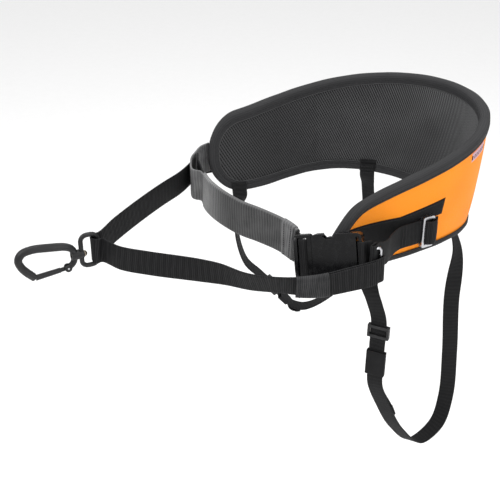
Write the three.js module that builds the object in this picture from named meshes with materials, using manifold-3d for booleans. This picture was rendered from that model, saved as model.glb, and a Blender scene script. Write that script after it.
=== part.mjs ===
// A padded hip belt harness with a towing strap, two leg loops and a swivel snap hook.
// Millimetres. +Z is up, -Y is the wearer's front, +X is the wearer's left.
// The origin is the middle of the waist opening.
import * as THREE from 'three';
import { mergeVertices } from 'three/addons/utils/BufferGeometryUtils.js';
import Module from 'manifold-3d';

const wasm = await Module();
wasm.setup();

// ---- driving dimensions -------------------------------------------------

const GAP = 0.3;              // clearance between pieces that touch

const PAD_HALF = 358.4;       // half the pad's length along its curve
const PAD_BACK_Y = 138;       // the pad's middle, behind the wearer
const TIP_RADIUS = 38;        // rounding of the pad's four corners
const TIP_PULL = [-15.7, 8, -9.5];  // how far the buckle draws the soft left tip in
const COVER_THICK = 1;
const FOAM_THICK = 6;
const LINING_THICK = 1.5;
const BINDING_THICK = 1.2;
const BINDING_WIDTH = 12;
const BINDING_EDGE = 2.4;     // how far the binding stands past the layers
const PATCH_THICK = 1;

const WAIST_WEB = 40;
const HIP_WEB = 30;
const TOW_WEB = 30;
const LEG_WEB = 20;
const WEB_THICK = 1.8;
const SLEEVE_TALL = 48;
const SLEEVE_THICK = 6;

const BUCKLE_LEFT_END = [126, -167.7, -32.4];
const BUCKLE_RIGHT_END = [177.8, -114.8, -18.2];
const BUCKLE_ROLL = 0.33;      // the belt lets the buckle's top lean in, radians
const BUCKLE_TALL = 50;
const BUCKLE_THICK = 13;
const PLUG_LONG = 20;         // the part of the plug outside the socket
const PRONG_LONG = 34;
const PRONG_TALL = 9;

const RING_BAR = 2.8;         // radius of the tow ring's bar
const RING_FRONT_Y = -368.4;
const RING_BACK_Y = -349.5;
const RING_MID_Z = -36;
const RING_INSIDE = 32;       // clear height inside the tow ring

const HOOK_BAR = 3.6;         // radius of the snap hook's bar
const GATE_BAR = 2.9;
const SWIVEL_Z = -39;
const GATE_PIVOT = [0, -385, -52.3];
const GATE_TIP = [0, -421.5, -55.6];

// ---- materials ----------------------------------------------------------

const paint = (color, roughness, metalness = 0) => () =>
  new THREE.MeshStandardMaterial({ color, roughness, metalness });
const orangeCloth = paint(0xff9f3c, 0.8);
const darkCloth = paint(0x37373a, 0.85);
const meshCloth = paint(0x4a4a4c, 0.9);
const blackWeb = paint(0x222222, 0.8);
const greyWeb = paint(0x6a6a6a, 0.8);
const foam = paint(0x8a8a86, 0.9);
const blackPlastic = paint(0x151517, 0.35);
const greyPlastic = paint(0x3a3a3c, 0.45);
const silver = paint(0xc9c9cc, 0.3, 1);
const blackMetal = paint(0x1a1a1c, 0.4, 0.6);
const labelCloth = paint(0xd9a6b4, 0.7);

const harness = new THREE.Group();

// ---- helpers ------------------------------------------------------------

const vec = (p) => (p.isVector3 ? p.clone() : new THREE.Vector3(...p));
const lerp = THREE.MathUtils.lerp;
const clamp = THREE.MathUtils.clamp;

function signedVolume(geometry) {
  const position = geometry.getAttribute('position');
  const index = geometry.getIndex();
  const corner = [0, 1, 2].map(() => new THREE.Vector3());
  let total = 0;
  for (let i = 0; i < index.count; i += 3) {
    corner.forEach((c, k) => c.fromBufferAttribute(position, index.getX(i + k)));
    total += corner[0].dot(corner[1].clone().cross(corner[2])) / 6;
  }
  return total;
}

// Joins shared corners, drops slivers and turns the faces outward.
function closed(geometry) {
  const bare = geometry.clone();
  for (const name of Object.keys(bare.attributes)) {
    if (name !== 'position') bare.deleteAttribute(name);
  }
  const merged = mergeVertices(bare, 1e-3);
  const old = Array.from(merged.getIndex().array);
  const kept = [];
  for (let i = 0; i < old.length; i += 3) {
    const [a, b, c] = old.slice(i, i + 3);
    if (a !== b && b !== c && c !== a) kept.push(a, b, c);
  }
  merged.setIndex(kept);
  if (signedVolume(merged) < 0) {
    for (let i = 0; i < kept.length; i += 3) [kept[i], kept[i + 1]] = [kept[i + 1], kept[i]];
    merged.setIndex(kept);
  }
  return merged;
}

function toSolid(geometry) {
  const ready = closed(geometry);
  const mesh = new wasm.Mesh({
    numProp: 3,
    vertProperties: new Float32Array(ready.getAttribute('position').array),
    triVerts: new Uint32Array(ready.getIndex().array),
  });
  return new wasm.Manifold(mesh);
}

function toGeometry(solid) {
  const mesh = solid.getMesh();
  const geometry = new THREE.BufferGeometry();
  geometry.setAttribute('position', new THREE.BufferAttribute(mesh.vertProperties, 3));
  geometry.setIndex(new THREE.BufferAttribute(mesh.triVerts, 1));
  return geometry;
}

const join = (first, ...rest) =>
  toGeometry(rest.reduce((sum, g) => sum.add(toSolid(g)), toSolid(first)));
const cut = (first, ...rest) =>
  toGeometry(rest.reduce((sum, g) => sum.subtract(toSolid(g)), toSolid(first)));

// Moves every corner of a geometry by a rule that takes and returns a Vector3.
function reshape(geometry, rule) {
  const moved = geometry.clone();
  const position = moved.getAttribute('position');
  for (let i = 0; i < position.count; i += 1) {
    const p = rule(new THREE.Vector3().fromBufferAttribute(position, i));
    position.setXYZ(i, p.x, p.y, p.z);
  }
  return moved;
}

function add(name, geometry, material, parent = harness) {
  const ready = closed(geometry).toNonIndexed();
  ready.computeVertexNormals();
  const mesh = new THREE.Mesh(ready, material());
  mesh.name = name;
  parent.add(mesh);
  return mesh;
}

const smoothPath = (points) => new THREE.CatmullRomCurve3(points.map(vec), false, 'centripetal');

// The frame of a flat strap at one place on its path: along, across its width, and out of its face.
function strapFrame(path, t, across) {
  const along = path.getTangentAt(clamp(t, 0, 1));
  const face = along.clone().cross(across(t)).normalize();
  return { at: path.getPointAt(clamp(t, 0, 1)), along, face, wide: face.clone().cross(along) };
}

// A flat strap that follows a path. across(t) is the direction of its width.
function strap({ points, width, thick = WEB_THICK, steps, across, shift = 0 }) {
  const path = smoothPath(points);
  const widthAt = typeof width === 'function' ? width : () => width;
  return reshape(new THREE.BoxGeometry(1, 1, 1, steps, 1, 1), (p) => {
    const t = p.x + 0.5;
    const f = strapFrame(path, t, across);
    return f.at.addScaledVector(f.wide, p.y * widthAt(t)).addScaledVector(f.face, p.z * thick + shift);
  });
}

// A box given by its size and middle.
const block = (size, at = [0, 0, 0]) =>
  new THREE.BoxGeometry(...size).translate(...at);

// A round bar along X, Y or Z.
function bar(axis, radius, length, at = [0, 0, 0], sides = 16) {
  const geometry = new THREE.CylinderGeometry(radius, radius, length, sides);
  if (axis === 'x') geometry.rotateZ(Math.PI / 2);
  if (axis === 'z') geometry.rotateX(Math.PI / 2);
  return geometry.translate(...at);
}

// A bar bent into a closed ring that follows a flat outline in the YZ plane.
function wireRing(outline, radius, steps, sides = 8) {
  const reach = 4 * radius;
  const circle = [];
  for (let i = 0; i <= sides; i += 1) {
    const a = (i % sides) / sides * 2 * Math.PI;
    circle.push(new THREE.Vector2(reach + radius * Math.cos(a), radius * Math.sin(a)));
  }
  return reshape(new THREE.LatheGeometry(circle, steps), (p) => {
    const turn = Math.atan2(p.x, p.z) / (2 * Math.PI);
    const t = (turn + 1) % 1;
    const at = outline.getPointAt(t);
    const along = outline.getTangentAt(t);
    const outward = Math.hypot(p.x, p.z) - reach;
    return new THREE.Vector3(p.y, at.x + along.y * outward, at.y - along.x * outward);
  });
}

// A rounded rectangle as a closed path, width along x and height along y.
function roundedOutline(width, height, radius) {
  const shape = new THREE.Shape();
  const x = width / 2;
  const y = height / 2;
  shape.moveTo(x, 0);
  shape.lineTo(x, y - radius);
  shape.absarc(x - radius, y - radius, radius, 0, Math.PI / 2);
  shape.lineTo(radius - x, y);
  shape.absarc(radius - x, y - radius, radius, Math.PI / 2, Math.PI);
  shape.lineTo(-x, radius - y);
  shape.absarc(radius - x, radius - y, radius, Math.PI, 1.5 * Math.PI);
  shape.lineTo(x - radius, -y);
  shape.absarc(x - radius, radius - y, radius, 1.5 * Math.PI, 2 * Math.PI);
  shape.lineTo(x, 0);
  return shape;
}

// ---- the pad's surface --------------------------------------------------

// u runs from -1 at the wearer's right tip to +1 at the left tip.
const heading = (u) => 2.593 * u + 0.105 * u ** 3 - 1.704 * u ** 5;
const topHeight = (u) => 76.7 - 65.7 * u ** 2 + 13.7 * u ** 4;
const bottomHeight = (u) => -74.7 + 95.4 * u ** 2 - 217.8 * u ** 4 + 136 * u ** 6;
const flare = (u) => 5.75 + 10.4 * u ** 2;

const PLAN_STEPS = 400;
const plan = [new THREE.Vector2(0, PAD_BACK_Y)];
for (let i = 0; i < PLAN_STEPS; i += 1) {
  const h = heading((i + 0.5) / PLAN_STEPS);
  const step = PAD_HALF / PLAN_STEPS;
  plan.push(new THREE.Vector2(plan[i].x + Math.cos(h) * step, plan[i].y - Math.sin(h) * step));
}

// The pad's middle line seen from above, at u.
function planAt(u) {
  const place = Math.min(Math.abs(u), 1) * PLAN_STEPS;
  const i = Math.min(Math.floor(place), PLAN_STEPS - 1);
  const p = plan[i].clone().lerp(plan[i + 1], place - i);
  return new THREE.Vector2(Math.sign(u) * p.x, p.y);
}

// A point of the pad: s along it from the middle, at height z, and out of the cover by t.
function padPoint(s, z, t) {
  const u = s / PAD_HALF;
  const h = heading(clamp(u, -1, 1));
  const middle = (topHeight(u) + bottomHeight(u)) / 2;
  const half = (topHeight(u) - bottomHeight(u)) / 2;
  const out = t + flare(u) * (z - middle) / half;
  const p = planAt(u);
  const pull = clamp((u - 0.5) / 0.5, 0, 1) ** 2;
  return new THREE.Vector3(p.x + Math.sin(h) * out, p.y + Math.cos(h) * out, z)
    .addScaledVector(vec(TIP_PULL), pull);
}

// Heights of the pad's outline at s, after rounding its corners and stepping in by inset.
function padEdges(s, inset = 0) {
  const u = clamp(s / PAD_HALF, -1, 1);
  const radius = TIP_RADIUS - inset;
  const left = Math.max(PAD_HALF - inset - Math.abs(s), 0);
  const short = left < radius ? radius - Math.sqrt(radius ** 2 - (radius - left) ** 2) : 0;
  return { top: topHeight(u) - inset - short, bottom: bottomHeight(u) + inset + short };
}

// A layer of the pad between two depths, stepped in from the outline.
function padLayer(outer, inner, inset, columns, rows) {
  const reach = PAD_HALF - inset;
  return reshape(new THREE.BoxGeometry(1, 1, 1, columns, rows, 1), (p) => {
    const s = reach * Math.sin(Math.PI * p.x);
    const edge = padEdges(s, inset);
    return padPoint(s, lerp(edge.bottom, edge.top, p.y + 0.5), lerp(inner, outer, p.z + 0.5));
  });
}

const COVER_BACK = -COVER_THICK;
const FOAM_FRONT = COVER_BACK - GAP;
const FOAM_BACK = FOAM_FRONT - FOAM_THICK;
const LINING_FRONT = FOAM_BACK - GAP;
const LINING_BACK = LINING_FRONT - LINING_THICK;
const LAYER_INSET = BINDING_EDGE + 4 * GAP;

add('outer_cover', padLayer(0, COVER_BACK, LAYER_INSET, 48, 5), orangeCloth);
add('foam_core', padLayer(FOAM_FRONT, FOAM_BACK, LAYER_INSET, 48, 5), foam);
add('mesh_lining', padLayer(LINING_FRONT, LINING_BACK, LAYER_INSET, 48, 5), meshCloth);

// The outline of the pad as a loop: turn 0 is the left tip, a half turn the right tip.
function padRim(turn) {
  const angle = 2 * Math.PI * turn;
  const s = PAD_HALF * Math.cos(angle);
  const edge = padEdges(s);
  const share = clamp(0.5 + 1e3 * Math.sin(angle), 0, 1);
  return new THREE.Vector2(s, lerp(edge.bottom, edge.top, share));
}

// The binding folds over the rim like a channel and is sewn through on both faces.
function rimBinding(columns) {
  const reach = 3 * BINDING_WIDTH;
  const front = GAP + BINDING_THICK;
  const back = LINING_BACK - GAP;
  const channel = [
    [0, front], [BINDING_WIDTH, front], [BINDING_WIDTH, GAP], [BINDING_EDGE, GAP],
    [BINDING_EDGE, back], [BINDING_WIDTH, back], [BINDING_WIDTH, back - BINDING_THICK],
    [0, back - BINDING_THICK], [0, front],
  ];
  const profile = channel.map(([inset, t]) => new THREE.Vector2(reach - inset, t));
  return reshape(new THREE.LatheGeometry(profile, columns), (p) => {
    const turn = (Math.atan2(p.x, p.z) / (2 * Math.PI) + 1) % 1;
    const inset = reach - Math.hypot(p.x, p.z);
    const rim = padRim(turn);
    const ahead = padRim(turn + 0.25 / columns).sub(padRim(turn - 0.25 / columns)).normalize();
    return padPoint(rim.x - ahead.y * inset, rim.y + ahead.x * inset, p.y);
  });
}
add('edge_binding', rimBinding(96), darkCloth);

// ---- what is sewn on the pad --------------------------------------------

const PATCH_REAR = 0.565;
const PATCH_MID = 0.74;
const PATCH_FRONT = 0.955;

// Height of a place on the pad given as a share of the way down from its top edge.
const downFromTop = (u, share) => lerp(topHeight(u), bottomHeight(u), share);

function patchEdges(u) {
  const rise = Math.max(u - PATCH_MID, 0) / (1 - PATCH_MID);
  const run = (u - PATCH_REAR) / (PATCH_MID - PATCH_REAR);
  const inside = padEdges(u * PAD_HALF, BINDING_WIDTH + 7 * GAP);
  const top = Math.min(downFromTop(u, 0.42 - 0.2 * rise), inside.top);
  const bottom = Math.max(downFromTop(u, Math.min(0.74 + 0.3 * run, 1)), inside.bottom);
  return { top, bottom };
}

// The three-cornered black panel that the hip straps are sewn to.
function sidePatch(side) {
  return reshape(new THREE.BoxGeometry(1, 1, 1, 12, 2, 1), (p) => {
    const u = lerp(PATCH_REAR, PATCH_FRONT, p.x + 0.5);
    const edge = patchEdges(u);
    const z = lerp(edge.bottom, edge.top, p.y + 0.5);
    return padPoint(side * u * PAD_HALF, z, 2 * GAP + PATCH_THICK * (p.z + 0.5));
  });
}

const up = () => new THREE.Vector3(0, 0, 1);
const SIDES = [['left', 1], ['right', -1]];
for (const [name, side] of SIDES) {
  add(`side_patch_${name}`, sidePatch(side), blackWeb);
}

// A blank woven label near the pad's top edge.
const LABEL = { from: 0.36, to: 0.455, low: 0.115, high: 0.2 };
add('blank_label', reshape(new THREE.BoxGeometry(1, 1, 1, 6, 1, 1), (p) => {
  const u = lerp(LABEL.from, LABEL.to, p.x + 0.5);
  const z = downFromTop(u, lerp(LABEL.high, LABEL.low, p.y + 0.5));
  return padPoint(u * PAD_HALF, z, GAP + 0.6 * (p.z + 0.5));
}), labelCloth);

// ---- waist buckle -------------------------------------------------------

// The buckle is built along +X in its own group, with the plug on the -X side, then set in place.
const buckle = new THREE.Group();
const buckleStart = vec(BUCKLE_LEFT_END);
const buckleEnd = vec(BUCKLE_RIGHT_END);
const buckleAlong = buckleEnd.clone().sub(buckleStart).normalize();
const buckleOut = buckleAlong.clone().cross(new THREE.Vector3(0, 0, 1)).normalize()
  .applyAxisAngle(buckleAlong, -BUCKLE_ROLL);
const buckleUp = buckleOut.clone().cross(buckleAlong);
const buckleLong = buckleStart.distanceTo(buckleEnd);
buckle.quaternion.setFromRotationMatrix(
  new THREE.Matrix4().makeBasis(buckleAlong, buckleUp.clone().negate(), buckleOut.clone().negate()),
);
buckle.position.copy(buckleStart).add(buckleEnd).multiplyScalar(0.5);
harness.add(buckle);

const socketStart = -buckleLong / 2 + PLUG_LONG + GAP;
const socketEnd = buckleLong / 2;
const socketLong = socketEnd - socketStart;
const socketMid = (socketStart + socketEnd) / 2;
const WALL = 2.2;

// A lozenge-like outline for the buckle's halves, softened at its corners, made along Z.
function plate(width, height, thick, radius, at) {
  const outline = roundedOutline(width, height, radius);
  const geometry = new THREE.ExtrudeGeometry(outline, { depth: thick, bevelEnabled: false, curveSegments: 5 });
  return geometry.translate(at[0], at[1], at[2] - thick / 2);
}

const MOUTH_LONG = PRONG_LONG + 4;
const windowX = socketStart + 19;
const socket = cut(
  plate(socketLong, BUCKLE_TALL, BUCKLE_THICK, 5, [socketMid, 0, 0]),
  block([MOUTH_LONG, BUCKLE_TALL - 2 * WALL, BUCKLE_THICK - 2 * WALL], [socketStart + MOUTH_LONG / 2 - 0.1, 0, 0]),
  bar('z', 8, 30, [windowX, BUCKLE_TALL / 2 + 2, 0], 20),
  bar('z', 8, 30, [windowX, -BUCKLE_TALL / 2 - 2, 0], 20),
  block([3.4, WAIST_WEB + 2, 30], [socketEnd - 4.4, 0, 0]),
);
add('buckle_socket', socket, blackPlastic, buckle);

const plugStart = -buckleLong / 2;
const plug = cut(
  join(
    plate(PLUG_LONG, BUCKLE_TALL, BUCKLE_THICK - 3, 4, [plugStart + PLUG_LONG / 2, 0, 0]),
    block([24, 14, 5], [plugStart + PLUG_LONG + 11, 0, 0]),
  ),
  block([3.6, WAIST_WEB + 2, 30], [plugStart + 5, 0, 0]),
  block([3.6, WAIST_WEB + 2, 30], [plugStart + 12.4, 0, 0]),
);
add('buckle_plug', plug, blackPlastic, buckle);

// Two prongs beside the tongue, with heads that catch behind the socket's windows.
for (const [name, side] of [['upper', -1], ['lower', 1]]) {
  const root = plugStart + PLUG_LONG + GAP;
  const y = side * (BUCKLE_TALL / 2 - WALL - PRONG_TALL / 2 - 2.6);
  const prong = join(
    block([PRONG_LONG, PRONG_TALL - 3, 6.5], [root + PRONG_LONG / 2, y, 0]),
    bar('z', 5.2, 6.5, [root + 19, y + side * 0.6, 0], 18),
  );
  add(`plug_prong_${name}`, prong, blackPlastic, buckle);
}

// ---- waist belt ---------------------------------------------------------

// The belt leaves the right hip, turns across the front and ends at the buckle's plug.
const BELT = [
  [-163, -112, -27], [-158, -147, -28], [-135, -165, -29], [-100, -176, -30], [-63, -186, -30],
  [-28, -187, -30], [15, -180, -30], [44, -170, -29], [76, -161, -28], [98, -157.4, -28.4],
  [112, -157, -30], [121.4, -158.4, -31.4],
];
const beltPath = smoothPath(BELT);
const beltLength = beltPath.getLength();

function beltStretch(from, to, count) {
  const points = [];
  for (let i = 0; i <= count; i += 1) points.push(beltPath.getPointAt(lerp(from, to, i / count)));
  return points;
}

const SLEEVE_FROM = 0.29;
const SLEEVE_TO = 1 - 14 / beltLength;
const SLEEVE_WALL = 1.2;
const sleeveHeight = (t) => lerp(SLEEVE_TALL, WAIST_WEB + 2 * SLEEVE_WALL + 1.2, clamp(1.4 * t, 0, 1));
const sleevePoints = beltStretch(SLEEVE_FROM, SLEEVE_TO, 14);
const sleeveBody = strap({ points: sleevePoints, width: sleeveHeight, thick: SLEEVE_THICK, steps: 26, across: up });
const sleeveSpace = strap({
  points: beltStretch(SLEEVE_FROM - 0.01, SLEEVE_TO + 0.01, 14),
  width: WAIST_WEB + 1.2, thick: SLEEVE_THICK - 2 * SLEEVE_WALL, steps: 26, across: up,
});
add('waist_sleeve', cut(sleeveBody, sleeveSpace), greyWeb);
add('waist_web', strap({
  points: beltStretch(0.075, 1 - 7 / beltLength, 24), width: WAIST_WEB, steps: 44, across: up,
}), blackWeb);

// The short webs that join the buckle and the belt to the pad's sides.
const HIP_WEB_LEFT = [
  [182.4, -110.4, -17], [184, -100, -19], [178, -86, -22], [164, -70, -25], [151.4, -50, -26.5],
  [148.8, -30, -27], [147.8, -10, -27], [147.4, 4, -27],
];
add('hip_web_left', strap({ points: HIP_WEB_LEFT, width: HIP_WEB, steps: 14, across: up }), blackWeb);
const HIP_WEB_RIGHT = [
  [-157.5, -122, -27], [-153, -92, -28], [-151.5, -60, -29], [-149.6, -30, -30.5], [-146.4, -4, -31],
];
add('hip_web_right', strap({ points: HIP_WEB_RIGHT, width: HIP_WEB, steps: 14, across: up }), blackWeb);

// A flat metal slider round each hip web, with a bar behind it and one in front.
const SLIDER_TALL = HIP_WEB + 8;
const SLIDER_LONG = 16;
const SLIDER_DEEP = 7;
const SLIDER_AT = { left: 0.885, right: 0.8 };
function hipSlider() {
  const frame = cut(
    plate(SLIDER_LONG, SLIDER_TALL, SLIDER_DEEP, 2.5, [0, 0, 0]),
    block([SLIDER_LONG + 2, HIP_WEB + 1.2, WEB_THICK + 1.4]),
    block([SLIDER_LONG - 6, HIP_WEB + 1.2, SLIDER_DEEP + 4], [0, 0, SLIDER_DEEP / 2 + 1]),
  );
  return frame;
}
for (const [name, side] of SIDES) {
  const path = smoothPath(side > 0 ? HIP_WEB_LEFT : HIP_WEB_RIGHT);
  const f = strapFrame(path, SLIDER_AT[name], up);
  const outward = f.face.x * side > 0 ? f.face : f.face.clone().negate();
  const along = f.wide.clone().cross(outward);
  const placed = hipSlider().applyMatrix4(new THREE.Matrix4().makeBasis(along, f.wide, outward).setPosition(f.at));
  add(`hip_slider_${name}`, placed, silver);
}

// ---- towing strap and ring ----------------------------------------------

const TOW_LEFT = [
  [4, -345, -38.5], [27, -333, -40], [52, -310, -40], [90, -268, -40.3], [112, -249, -39.5], [139, -232, -39],
  [160, -213, -37], [175, -190, -37], [184, -166, -36.7], [191, -140, -33.5], [194.1, -116, -32],
  [194, -103.5, -31], [192.8, -99.2, -31], [190, -97.4, -31], [187.2, -99.2, -31], [186.2, -103.5, -31],
];
const TOW_RIGHT = [
  [-4, -345, -33.5], [-19, -322, -29], [-42, -286, -25], [-68, -246, -23], [-100, -206, -27],
  [-134, -176, -33], [-168, -152, -41], [-175, -128, -43], [-169, -106, -43],
];
const TOW_FOLD = [[5.6, -351, -37], [4.2, -354.6, -36.4], [0, -356, -36], [-4.2, -354.6, -35.6], [-5.6, -351, -35]];
const towPoints = [...TOW_LEFT].reverse().concat(TOW_FOLD, TOW_RIGHT);
const towPath = smoothPath(towPoints);
// The left branch sags and lies over a little half way along.
const towAcross = (t) => {
  const lean = 0.53 * Math.exp(-(((t - 0.19) / 0.105) ** 2));
  return new THREE.Vector3(0.3 * lean, -0.9 * lean, 1 - 0.35 * lean).normalize();
};
add('tow_strap', strap({ points: towPoints, width: TOW_WEB, steps: 110, across: towAcross }), blackWeb);

// A folded-back tail sewn on the outer face of the left branch.
const TAIL_START = 0.045;
const TAIL_END = 0.16;
const tailPoints = [];
for (let i = 0; i <= 12; i += 1) tailPoints.push(towPath.getPointAt(lerp(TAIL_START, TAIL_END, i / 12)));
add('tow_tail_left', strap({
  points: tailPoints, width: TOW_WEB - 1, steps: 24, shift: -WEB_THICK - 2 * GAP,
  across: (t) => towAcross(lerp(TAIL_START, TAIL_END, t)),
}), blackWeb);

// The small wire rings at the tow strap's ends. The left one lies in the strap's folded end and
// the right one stands against the side patch.
const SIDE_RING = { deep: 13, bar: 1.7 };
const SIDE_RINGS = [
  { name: 'left', middle: [190, -106.9, -25], turn: 0, tall: 42 },
  { name: 'right', middle: [-167.1, -99.2, -43], turn: -0.266, tall: 35 },
];
for (const { name, middle, turn, tall } of SIDE_RINGS) {
  const outline = roundedOutline(SIDE_RING.deep - 2 * SIDE_RING.bar, tall - 2 * SIDE_RING.bar, 4);
  add(`side_ring_${name}`, wireRing(outline, SIDE_RING.bar, 28).rotateZ(turn).translate(...middle), silver);
}

const ringOutline = roundedOutline(RING_BACK_Y - RING_FRONT_Y, RING_INSIDE + 2 * RING_BAR, 7);
const ring = wireRing(ringOutline, RING_BAR, 40)
  .translate(0, (RING_BACK_Y + RING_FRONT_Y) / 2, RING_MID_Z);
const RIVET = 1.9;
add('d_ring', cut(
  join(ring, bar('y', 4.6, 2 * RING_BAR - 0.6, [0, RING_FRONT_Y, SWIVEL_Z], 20)),
  bar('y', RIVET + GAP, 20, [0, RING_FRONT_Y, SWIVEL_Z], 20),
), blackMetal);

// ---- snap hook ----------------------------------------------------------

const HOOK_SPINE = [
  [0, -385.6, -52.6], [0, -379, -48.4], [0, -376.4, -40], [0, -378.6, -31.5], [0, -386, -26.4],
  [0, -403, -22.9], [0, -424, -20.9], [0, -434.4, -23.6], [0, -438.4, -31], [0, -435.6, -40],
  [0, -429.6, -48], [0, -423.4, -54.6],
];
const circle = (radius, sides) => {
  const shape = new THREE.Shape();
  for (let i = 0; i < sides; i += 1) {
    const a = i / sides * 2 * Math.PI;
    if (i === 0) shape.moveTo(radius, 0);
    else shape.lineTo(radius * Math.cos(a), radius * Math.sin(a));
  }
  return shape;
};
const hookBar = new THREE.ExtrudeGeometry(circle(HOOK_BAR, 10), {
  steps: 44, bevelEnabled: false, extrudePath: smoothPath(HOOK_SPINE),
});
const SWIVEL_FACE_Y = RING_FRONT_Y - RING_BAR - 0.2;
const swivelBoss = bar('y', 5.2, 8.4, [0, SWIVEL_FACE_Y - 4.4, SWIVEL_Z], 20);
const gateAxis = vec(GATE_TIP).sub(vec(GATE_PIVOT)).normalize();
const noseCut = block([12, 20, 20], [0, 10, 0])
  .applyMatrix4(new THREE.Matrix4().makeBasis(
    new THREE.Vector3(1, 0, 0), gateAxis.clone().negate(), new THREE.Vector3(1, 0, 0).cross(gateAxis.clone().negate()),
  ).setPosition(vec(GATE_TIP).addScaledVector(gateAxis, GAP)));
const PIN = 1.2;
const SEAT_Y = -435.4;        // a small flat inside the hook's bend, where a line's loop bears
const SEAT_Z = -31.5;
add('carabiner_body', cut(
  join(hookBar, swivelBoss, bar('x', HOOK_BAR + 0.4, 7, GATE_PIVOT, 20)),
  noseCut,
  bar('y', RIVET + GAP, 16, [0, SWIVEL_FACE_Y - 4, SWIVEL_Z], 20),
  bar('y', 3.4, 3, [0, SWIVEL_FACE_Y - 7.6, SWIVEL_Z], 20),
  block([2.6, 14, 12], [GATE_PIVOT[0], GATE_PIVOT[1] - 4.4, GATE_PIVOT[2] + 0.5]),
  bar('x', PIN + GAP, 20, GATE_PIVOT, 16),
  block([12, 5, 6.4], [0, SEAT_Y + 2.5, SEAT_Z]),
), blackMetal);

// The gate is a straight bar with a tongue that sits in the body's fork.
const gateLength = vec(GATE_PIVOT).distanceTo(vec(GATE_TIP));
const GATE_START = 8.6;
const gateTurn = new THREE.Matrix4().makeBasis(
  gateAxis, new THREE.Vector3(1, 0, 0), gateAxis.clone().cross(new THREE.Vector3(1, 0, 0)),
).setPosition(vec(GATE_PIVOT));
const gateBar = bar('x', GATE_BAR, gateLength - GATE_START, [(gateLength + GATE_START) / 2, 0, 0], 12);
const gateTongue = join(block([GATE_START + 3, 1.9, 4.4], [GATE_START / 2 + 1, 0, 0]), bar('y', 2.4, 1.9, [0, 0, 0], 16));
add('carabiner_gate', cut(
  join(gateBar, gateTongue).applyMatrix4(gateTurn),
  bar('x', PIN + GAP, 20, GATE_PIVOT, 16),
), blackMetal);
add('gate_pin', bar('x', PIN, 6.8, GATE_PIVOT, 14), silver);

// The rivet's shank runs through the ring's bar and the hook's boss, with a head at each end.
const rivetFrom = RING_FRONT_Y + RING_BAR + 0.2;
const rivetTo = SWIVEL_FACE_Y - 6.3;
const domed = cut(new THREE.SphereGeometry(3.6, 16, 10), block([10, 10, 10], [0, -5, 0]));
add('swivel_rivet', join(
  bar('y', RIVET, rivetFrom - rivetTo + 0.4, [0, (rivetFrom + rivetTo) / 2, SWIVEL_Z], 16),
  domed.translate(0, rivetFrom, SWIVEL_Z),
  bar('y', 3, 1.2, [0, rivetTo - 0.6, SWIVEL_Z], 16),
), silver);

// ---- leg loops ----------------------------------------------------------

const LEG_LEFT = [
  [99, 86, -72.5], [99.6, 82, -96], [100, 80, -170], [99.5, 86, -249], [98.5, 89, -325], [101, 76, -364],
  [107.5, 38, -375], [114, -2, -334], [118.7, -30, -284], [121.8, -46, -248], [122.4, -48.6, -234],
  [122.4, -48.6, -192], [122.4, -48.6, -150], [124, -58, -126], [125.5, -66, -100], [126, -67, -75],
];
const LEG_RIGHT = [
  [-104.5, 74.5, -72.5], [-101, 79, -92], [-101, 82, -130], [-103, 72, -190], [-106, 50, -238], [-110, 20, -262],
  [-115, -9, -270], [-118.4, -27.6, -263.6], [-119.5, -34, -256], [-123, -55.3, -230.7], [-126.5, -76.7, -205.3],
  [-130, -98, -180], [-132.6, -110, -140], [-134, -113, -108], [-134, -113, -74],
];
// Each loop's back and front hang at their own turn, and the strap twists between them.
const legAcross = (leg) => (t) => {
  const turn = lerp(leg.rearTurn, leg.frontTurn, THREE.MathUtils.smoothstep(t, 0.28, 0.46));
  return new THREE.Vector3(Math.cos(turn), Math.sin(turn), 0);
};

// A slider plate with three bars, or a plain keeper band, placed round a leg strap.
function roundStrap(path, t, across, size) {
  const f = strapFrame(path, t, across);
  const body = cut(
    block([size.long, size.wide, size.deep]),
    block([size.long + 2, LEG_WEB + 1, WEB_THICK + size.slack]),
    ...(size.window ? [block([size.long - 2 * size.window, LEG_WEB + 1, size.deep + 2])] : []),
  );
  return body.applyMatrix4(new THREE.Matrix4().makeBasis(f.along, f.wide, f.face).setPosition(f.at));
}

const LEG_SLIDER = { long: 17, wide: 27, deep: 6.4, slack: 1.8, window: 4 };
const LEG_KEEPER = { wide: 24, deep: 6, slack: 2.2 };
const LEGS = [
  {
    name: 'left', points: LEG_LEFT, rearTurn: 1.05, frontTurn: 0.64, keeperLong: 34,
    slider: [122.4, -48.6, -166], keeper: [122.4, -48.6, -211],
  },
  {
    name: 'right', points: LEG_RIGHT, rearTurn: 0.46, frontTurn: -0.64, keeperLong: 18,
    slider: [-123.7, -59.6, -225.6], keeper: [-121, -43, -245.4],
  },
];

// How far along a path its closest place to a point is.
function closestOn(path, target) {
  let best = 0;
  for (let i = 0; i <= 1000; i += 1) {
    const nearer = path.getPointAt(i / 1000).distanceTo(target) < path.getPointAt(best).distanceTo(target);
    if (nearer) best = i / 1000;
  }
  return best;
}

// The stitched tab on the pad's inner face that holds the back of each leg strap.
const TAB = { wide: 24, high: 15, below: 1.5, at: 112 };
for (const [name, side] of SIDES) {
  add(`leg_tab_${name}`, reshape(new THREE.BoxGeometry(1, 1, 1, 3, 1, 1), (p) => {
    const s = side * TAB.at + p.x * TAB.wide;
    const z = padEdges(s).bottom - TAB.below + (p.y + 0.5) * TAB.high;
    return padPoint(s, z, LINING_BACK - BINDING_THICK - 3 * GAP + (p.z - 0.5));
  }), blackWeb);
}

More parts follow.
